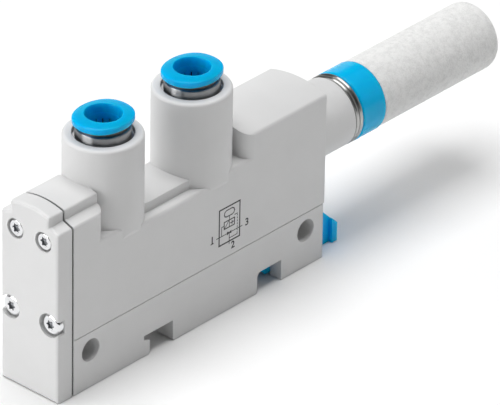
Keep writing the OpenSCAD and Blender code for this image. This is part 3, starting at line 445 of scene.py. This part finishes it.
# Cover screws: cold-headed steel with bright zinc plating, smooth and cloudy.
# Each has a domed pan head, sunk in its pocket, and a six-lobe drive recess.
def turned_metal(name, colours, axis, roughness, groove, pull=0.8):
    """Metal turned on a lathe about the given axis: fine rings as deep as groove says, and a cloudy
    tone between two colours. The rings pull every highlight out along the axis."""
    material, tree = new_material(name)
    tool_mark = 0.05e-3
    cloud_size = 1.2e-3
    # A shade off the axis, so that it never stands square on the end faces.
    along_axis = {"X": (1, 0.02, 0.013), "Z": (0.02, 0.013, 1)}[axis]
    stretch = add(tree, "CombineXYZ", dict(zip("XYZ", along_axis)))
    place = add(tree, "TexCoord")
    along = add(tree, "SeparateXYZ", n0=place.outputs["Object"])
    rings = add(tree, "TexNoise", {"noise_dimensions": "1D", "Scale": 1 / tool_mark, "Detail": 2},
                W=along.outputs[axis])
    cloud = add(tree, "TexNoise", {"Scale": 1 / cloud_size, "Detail": 3}, Vector=place.outputs["Object"])
    tone = add(tree, "Mix", {"data_type": "RGBA", 6: linear(colours[0]), 7: linear(colours[1])},
               n0=cloud.outputs[0])
    shine = add(tree, "MapRange", {"To Min": roughness[0], "To Max": roughness[1]},
                Value=cloud.outputs[0])
    bump = add(tree, "Bump", {"Strength": groove, "Distance": 0.00001}, Height=rings.outputs[0])
    skin = add(tree, "BsdfPrincipled", {"Metallic": 1.0, "Anisotropic": pull},
               Base_Color=tone.outputs[2], Roughness=shine.outputs[0], Normal=bump.outputs[0],
               Tangent=stretch.outputs[0])
    add(tree, "OutputMaterial", Surface=skin.outputs[0])
    return material


zinc = turned_metal("bright zinc-plated steel", ("DADBDD", "EDEDEE"), "X", (0.1, 0.2), 0.04, pull=0.3)
# The drive recess is rougher than the head, and darker as painted shade.
drive_rough_painted_shade = turned_metal("zinc plating in the drive recess, dull", ("888A8E", "A4A6A9"), "X",
                          (0.4, 0.5), 0.04, pull=0.3)
# Sink in the pocket, flat radius, full radius and drop of the dome.
upper_head = (0.2e-3, 1.42e-3, 1.66e-3, 0.4e-3)
lower_head = (0.32e-3, 1.3e-3, 2.08e-3, 0.62e-3)
dome_steps = 8
pocket_depth = 1.75e-3
drive_r = 0.76e-3
drive_chamfer = 0.05e-3
lobe_count = 6
lobe_depth = 0.14e-3
drive_depth = 0.7e-3
drive_floor = (0.55, 1.0)            # shares of the drive's radius and depth, where its floor is flat
drive_foot = (0.94, 0.8)             # and where its wall ends
shank_r = 1.1e-3
shank_tip = 0.6e-3
screw_sides = 96
cover_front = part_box("end_cover")[0][0]
for number, head in enumerate((upper_head, upper_head, lower_head, lower_head), 1):
    head_sink, flat_r, head_r, dome_drop = head
    name = "cover_screw_%d" % number
    low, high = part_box(name)
    middle = [(low[i] + high[i]) / 2 for i in range(3)]
    front = cover_front + head_sink
    seat = cover_front + pocket_depth
    dome = []
    for i in range(dome_steps + 1):
        turn = math.pi / 2 * i / dome_steps
        dome_r = flat_r + (head_r - flat_r) * math.sin(turn)
        dome.append((dome_r, front + dome_drop * (1 - math.cos(turn))))
    shank = [(head_r, seat), (shank_r, seat), (shank_r, high[0] - shank_tip), (shank_r / 2, high[0])]
    shape = bmesh.new()
    rings = []
    for i in range(screw_sides):
        turn = math.tau * i / screw_sides
        lobe = drive_r + lobe_depth * math.cos(lobe_count * turn)
        points = [(share * lobe, front + depth * drive_depth)
                  for share, depth in (drive_floor, drive_foot)]
        points += [(lobe, front + drive_chamfer), (lobe + drive_chamfer, front)] + dome + shank
        rings.append([shape.verts.new((x, middle[1] + r * math.cos(turn),
                                       middle[2] + r * math.sin(turn))) for r, x in points])
    for i in range(screw_sides):
        for j in range(len(points) - 1):
            side = shape.faces.new((rings[i - 1][j], rings[i][j], rings[i][j + 1], rings[i - 1][j + 1]))
            side.material_index = int(j < 2)         # the drive's floor and wall are rougher, and darker as painted shade
    shape.faces.new([ring[0] for ring in rings]).material_index = 1
    shape.faces.new([ring[-1] for ring in rings])
    finish_moulding(name + "_headed", shape, "housing", name, zinc, drive_rough_painted_shade)


# Fitting sleeves: brass turned in one piece under bright nickel, pressed into
# the towers. A thin lip above the shoulder guides the release ring's neck; the
# lip lies under the ring and is rougher and darker, as painted shade.
sleeve_nickel = turned_metal("nickel-plated turned brass, upright", ("949596", "B2B3B4"), "Z",
                             (0.28, 0.36), 0.12, pull=1.0)
# Painted shade: the lip under the ring takes this darker colour.
lip_rough_painted_shade = turned_metal("turned brass under thin nickel, dull", ("5E5A55", "76716A"), "Z",
                         (0.4, 0.5), 0.12)
sleeve_low, sleeve_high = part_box("supply_sleeve")
ring_low, ring_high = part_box("supply_release_ring")
press_r = (sleeve_high[0] - sleeve_low[0]) / 2
foot_r = 4.45e-3
collet_r = 4.15e-3
foot_height = 1e-3
slide_gap = 0.05e-3
neck_r = 5.1e-3
neck_foot = 44.45e-3                 # height above the base
shoulder_rise = 0.15e-3
shoulder_round = 0.25e-3
ledge_width = 0.45e-3
ledge_height = 0.35e-3
lip_r = 4.5e-3
lip_height = 0.75e-3
lip_round = 0.08e-3


def arc(radius, height, size, first, last, steps=5):
    """Points of a round in a turned outline: centre, size, and first and last angle in degrees."""
    turns = [math.radians(first + (last - first) * i / steps) for i in range(steps + 1)]
    return [(radius + size * math.cos(t), height + size * math.sin(t)) for t in turns]


def turned_piece(name, axis_x, outline, body, node, rough_painted_shade_steps, *materials, sides=192):
    """Closed turned shape about an upright axis, in place of a carried-over solid.
    The steps of the outline listed as rougher and in painted shade take the second material."""
    shape = bmesh.new()
    rings = []
    for i in range(sides):
        turn = math.tau * i / sides
        rings.append([shape.verts.new((axis_x + r * math.cos(turn), r * math.sin(turn), z))
                      for r, z in outline])
    for i in range(sides):
        for j in range(len(outline)):
            k = (j + 1) % len(outline)
            side = shape.faces.new((rings[i - 1][j], rings[i][j], rings[i][k], rings[i - 1][k]))
            side.material_index = int(j in rough_painted_shade_steps)
    finish_moulding(name, shape, body, node, *materials)


shoulder = sleeve_high[2] + shoulder_rise
lip_top = shoulder + lip_height
bore_r = collet_r + slide_gap
seat_r = foot_r + slide_gap
ledge_r = press_r - ledge_width
sleeve_outline = [(press_r, sleeve_low[2]), (press_r, neck_foot), (neck_r, neck_foot)]
sleeve_outline += arc(neck_r - shoulder_round, shoulder - shoulder_round, shoulder_round, 0, 90)
lip_start = len(sleeve_outline)
sleeve_outline += [(lip_r, shoulder)]
sleeve_outline += arc(lip_r - lip_round, lip_top - lip_round, lip_round, 0, 90, 3)
sleeve_outline += arc(bore_r + lip_round, lip_top - lip_round, lip_round, 90, 180, 3)
lip_end = len(sleeve_outline)
foot_top = ring_low[2] + foot_height
ledge_top = sleeve_low[2] + ledge_height
sleeve_outline += [(bore_r, foot_top), (seat_r, foot_top), (seat_r, ledge_top), (ledge_r, ledge_top),
                   (ledge_r, sleeve_low[2])]
fitting_x = {}
for port in ("supply", "vacuum"):
    low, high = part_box(port + "_sleeve")
    fitting_x[port] = (low[0] + high[0]) / 2
    turned_piece(port + "_sleeve_turned", fitting_x[port], sleeve_outline, "housing", port + "_sleeve",
                 range(lip_start, lip_end), sleeve_nickel, lip_rough_painted_shade)


# Silencer rim: brass turned under bright nickel, as the sleeves are, but about
# the ejector axis. It has two beads, and a thin tube of it is pressed into the
# exhaust collar.
rim_nickel = turned_metal("nickel-plated turned brass, level", ("A8A8A7", "C2C2C0"), "X",
                          (0.26, 0.36), 0.12, pull=0.9)
dress(rim_nickel, "silencer_rim")


# Springs: stainless steel wire coiled cold, with fine marks left by the die.
# Each is held on the housing here; in the ejector it shortens as its latch or plunger moves.
spring_steel = turned_metal("drawn stainless steel", ("B4B3B0", "C9C8C5"), "X", (0.2, 0.34), 0.1)
for joint in frame["joints"]:
    for spring in joint.get("deforming_nodes", []):
        name = spring["node"]
        low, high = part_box(name)
        coil = finish_moulding(name + "_coiled", carried_copy(name), "housing", name, spring_steel)
        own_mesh(coil)


# Grab rings: stainless steel strip, stamped with a ring of teeth that bite the
# tube. They lie in the towers below the collets, and their cut faces are bright.
ring_steel = turned_metal("stamped stainless steel", ("B4B3B0", "C6C5C2"), "Z", (0.22, 0.36), 0.08)
dress(ring_steel, "supply_grab_ring", "vacuum_grab_ring")


# Release rings, silencer collar and rail latch: sky blue acetal, moulded, with
# a smooth and slightly waxy shine.
def moulded_acetal(name, colours, painted_highlight_colour):
    """Sky blue acetal between two tones, with a painted highlight of lighter blue along its edges."""
    material, tree = new_material(name)
    wax_patch = 1.5e-3
    mould_grain = 0.1e-3
    blue_edge = 0.15e-3
    place = add(tree, "TexCoord")
    patch = add(tree, "TexNoise", {"Scale": 1 / wax_patch, "Detail": 3}, Vector=place.outputs["Object"])
    grain = add(tree, "TexNoise", {"Scale": 1 / mould_grain, "Detail": 2},
                Vector=place.outputs["Object"])
    tone = add(tree, "Mix", {"data_type": "RGBA", 6: linear(colours[0]), 7: linear(colours[1])},
               n0=patch.outputs[0])
    corner = add(tree, "Bevel", {"samples": 6, "Radius": blue_edge})
    face = add(tree, "NewGeometry")
    bend = add(tree, "VectorMath", {"operation": "DOT_PRODUCT"}, n0=corner.outputs[0],
               n1=face.outputs["Normal"])
    # Painted highlight: the colour turns a lighter blue along every edge.
    painted_edge_highlight = add(tree, "MapRange", {"From Min": 1.0, "From Max": 0.75, "To Max": 0.4},
                 Value=bend.outputs["Value"])
    paint = add(tree, "Mix", {"data_type": "RGBA", 7: linear(painted_highlight_colour)}, n0=painted_edge_highlight.outputs[0],
                n6=tone.outputs[2])
    shine = add(tree, "MapRange", {"To Min": 0.18, "To Max": 0.26}, Value=patch.outputs[0])
    bump = add(tree, "Bump", {"Strength": 0.05, "Distance": 0.00002}, Height=grain.outputs[0],
               Normal=corner.outputs[0])
    skin = add(tree, "BsdfPrincipled", {"IOR": 1.48, "Specular IOR Level": 0.18,
                                        "Subsurface Weight": 0.7, "Subsurface Scale": 0.003,
                                        "Subsurface Radius": (0.2, 0.7, 1.0)},
               Base_Color=paint.outputs[2], Roughness=shine.outputs[0], Normal=bump.outputs[0])
    add(tree, "OutputMaterial", Surface=skin.outputs[0])
    return material


# The wall of the ring's bore is a lighter blue, as painted light deep in the
# hole. The collar and the latch are a lighter blue than the rings, as painted
# light on their shaded sides.
blue_acetal = moulded_acetal("moulded acetal, sky blue", ("00A5E4", "00ADEA"), "3CBBEA")
bore_painted_light_acetal = moulded_acetal("moulded acetal, sky blue, thin wall that light comes through",
                             ("00B2F4", "04B8F8"), "3CC4FA")
# Painted light: the collar and the latch take a lightened blue.
painted_light_acetal = moulded_acetal("moulded acetal, sky blue, lightened as painted light", ("00B2FA", "00B8FF"), "3CC8FC")
dress(painted_light_acetal, "silencer_collar", "rail_latch")


# Release rings: one blue acetal moulding each. A thumb presses the oval flange,
# whose underside is hollow, and sixteen slots let the collet below it flex.
tube_r = 3.05e-3
mouth_r = 3.42e-3
mouth_depth = 1.6e-3
mouth_round = 0.14e-3
flange_end_r = 5.82e-3
flange_half_width = 5.15e-3
flange_side_r = 7.8e-3
flange_blend = 26                    # the higher, the sharper the plan's corners
flange_fall = 0.3e-3
flange_round = 0.32e-3
flange_foot_round = 0.15e-3
flange_thickness = 1.45e-3
flange_underside = ring_high[2] - flange_thickness
hollow_gap = 0.1e-3                  # between the hollow and the sleeve's lip
hollow_height = 0.9e-3
slot_count = 16
pitch = 12                           # segments from one slot to the next
slot_segments = 2                    # how many of them the slot takes
solid_neck = 1.5e-3                  # of the collet, between the flange and its slots


def flange_r(turn):
    """Radius of the flange's plan: a round with two flatter sides, whose corners are blended."""
    offset = flange_side_r - flange_half_width
    chord = math.sqrt(flange_side_r ** 2 - (offset * math.cos(turn)) ** 2)
    side = chord - offset * abs(math.sin(turn))
    return (flange_end_r ** -flange_blend + side ** -flange_blend) ** (-1 / flange_blend)


top = ring_high[2]
edge_top = top - flange_fall
slot_top = flange_underside - solid_neck
hollow_r = lip_r + hollow_gap
hollow_top = flange_underside + hollow_height
inner_wall = [(tube_r, ring_low[2]), (tube_r, slot_top)]
mouth = [(tube_r, top - mouth_depth)]
mouth += arc(mouth_r + mouth_round, top - mouth_round, mouth_round, 170, 90)
# The flange's own points are held as depths inside its plan.
rim = [(-x, z) for x, z in arc(flange_round, edge_top - flange_round, flange_round, 90, 180)]
lower_round = flange_underside + flange_foot_round
rim += [(-x, z) for x, z in arc(flange_foot_round, lower_round, flange_foot_round, 180, 270, 3)]
hollow = [(hollow_r, flange_underside), (hollow_r, hollow_top), (collet_r, hollow_top)]
outer_wall = [(collet_r, slot_top), (collet_r, foot_top), (foot_r, foot_top), (foot_r, ring_low[2])]
outline = inner_wall + mouth + rim + hollow + outer_wall
slot_ends = (1, len(outline) - len(outer_wall))
below_slot_top = list(range(slot_ends[0] + 1)) + list(range(slot_ends[1], len(outline)))
for port in ("supply", "vacuum"):
    shape = bmesh.new()
    sides = slot_count * pitch
    rings = []
    for i in range(sides):
        turn = math.tau * (i - slot_segments / 2) / sides
        plan_r = flange_r(turn)
        points = [(r if r > 0 else plan_r + r, z) for r, z in outline]
        rings.append([shape.verts.new((fitting_x[port] + r * math.cos(turn), r * math.sin(turn), z))
                      for r, z in points])
    for i in range(sides):
        this, after = rings[i], rings[(i + 1) % sides]
        slotted = i % pitch < slot_segments
        for j in range(len(outline)):
            k = (j + 1) % len(outline)
            if not slotted or not (j in below_slot_top and k in below_slot_top):
                wall = shape.faces.new((this[j], after[j], after[k], this[k]))
                # The bore's wall takes the lighter blue of painted light.
                wall.material_index = int(j < len(inner_wall))
        if slotted:
            inner, outer = slot_ends
            shape.faces.new((this[inner], after[inner], after[outer], this[outer]))
        if i % pitch in (0, slot_segments):
            shape.faces.new([this[j] for j in below_slot_top])
    bmesh.ops.delete(shape, geom=[v for v in shape.verts if not v.link_faces], context="VERTS")
    node = port + "_release_ring"
    finish_moulding(node + "_moulded", shape, port + "_ring", node, blue_acetal, bore_painted_light_acetal)


# Nozzles: a turned brass jet and a turned aluminium receiver. They sit on O-rings
# in the bores, where fine tool marks run round them.
dress(turned_metal("turned brass", ("CFA95C", "DDBB72"), "X", (0.18, 0.3), 0.3), "jet_nozzle")
dress(turned_metal("turned aluminium", ("D2D3D4", "E0E1E2"), "X", (0.24, 0.36), 0.3), "receiver_nozzle")


# Valve plunger: natural acetal, turned from rod, cream and slightly glossy. It
# slides in its chamber and carries the valve's seal.
natural_acetal, tree = new_material("turned acetal, natural")
rod_streak = 0.8e-3
place = add(tree, "TexCoord")
streak = add(tree, "TexNoise", {"Scale": 1 / rod_streak, "Detail": 3}, Vector=place.outputs["Object"])
tone = add(tree, "Mix", {"data_type": "RGBA", 6: linear("DDD8CA"), 7: linear("ECE8DC")},
           n0=streak.outputs[0])
shine = add(tree, "MapRange", {"To Min": 0.3, "To Max": 0.42}, Value=streak.outputs[0])
bump = add(tree, "Bump", {"Strength": 0.1, "Distance": 0.00002}, Height=streak.outputs[0])
skin = add(tree, "BsdfPrincipled", {"IOR": 1.48}, Base_Color=tone.outputs[2], Roughness=shine.outputs[0],
           Normal=bump.outputs[0])
add(tree, "OutputMaterial", Surface=skin.outputs[0])
dress(natural_acetal, "valve_plunger")


# Silencer tube: white polyethylene grains sintered into a porous wall. The
# grains stand out as a fine speckle, and handling leaves faint grey smudges.
porous, tree = new_material("sintered polyethylene, white")
grain_width = 0.35e-3
speckle_width = 0.7 * grain_width
smudge_width = 1.2e-3
place = add(tree, "TexCoord")
grains = add(tree, "TexVoronoi", {"Scale": 1 / grain_width, "Randomness": 1.0},
             Vector=place.outputs["Object"])
speckle = add(tree, "TexNoise", {"Scale": 1 / speckle_width, "Detail": 4, "Roughness": 0.7},
              Vector=place.outputs["Object"])
smudge = add(tree, "TexNoise", {"Scale": 1 / smudge_width, "Detail": 5, "Roughness": 0.65},
             Vector=place.outputs["Object"])
dirt = add(tree, "MapRange", {"From Min": 0.42, "From Max": 0.62}, Value=smudge.outputs[0])
base = add(tree, "Mix", {"data_type": "RGBA", 6: linear("E4E4E3"), 7: linear("D4D4D3")},
           n0=dirt.outputs[0])
fleck = add(tree, "MapRange", {"From Min": 0.35, "From Max": 0.65, "To Max": 0.5},
            Value=speckle.outputs[0])
tone = add(tree, "Mix", {"data_type": "RGBA", 7: linear("F6F6F5")}, n0=fleck.outputs[0],
           n6=base.outputs[2])
bump = add(tree, "Bump", {"Strength": 0.5, "Distance": 0.00012, "invert": True},
           Height=grains.outputs["Distance"])
skin = add(tree, "BsdfPrincipled", {"Roughness": 0.9, "IOR": 1.45}, Base_Color=tone.outputs[2],
           Normal=bump.outputs[0])
add(tree, "OutputMaterial", Surface=skin.outputs[0])
dress(porous, "silencer_tube")
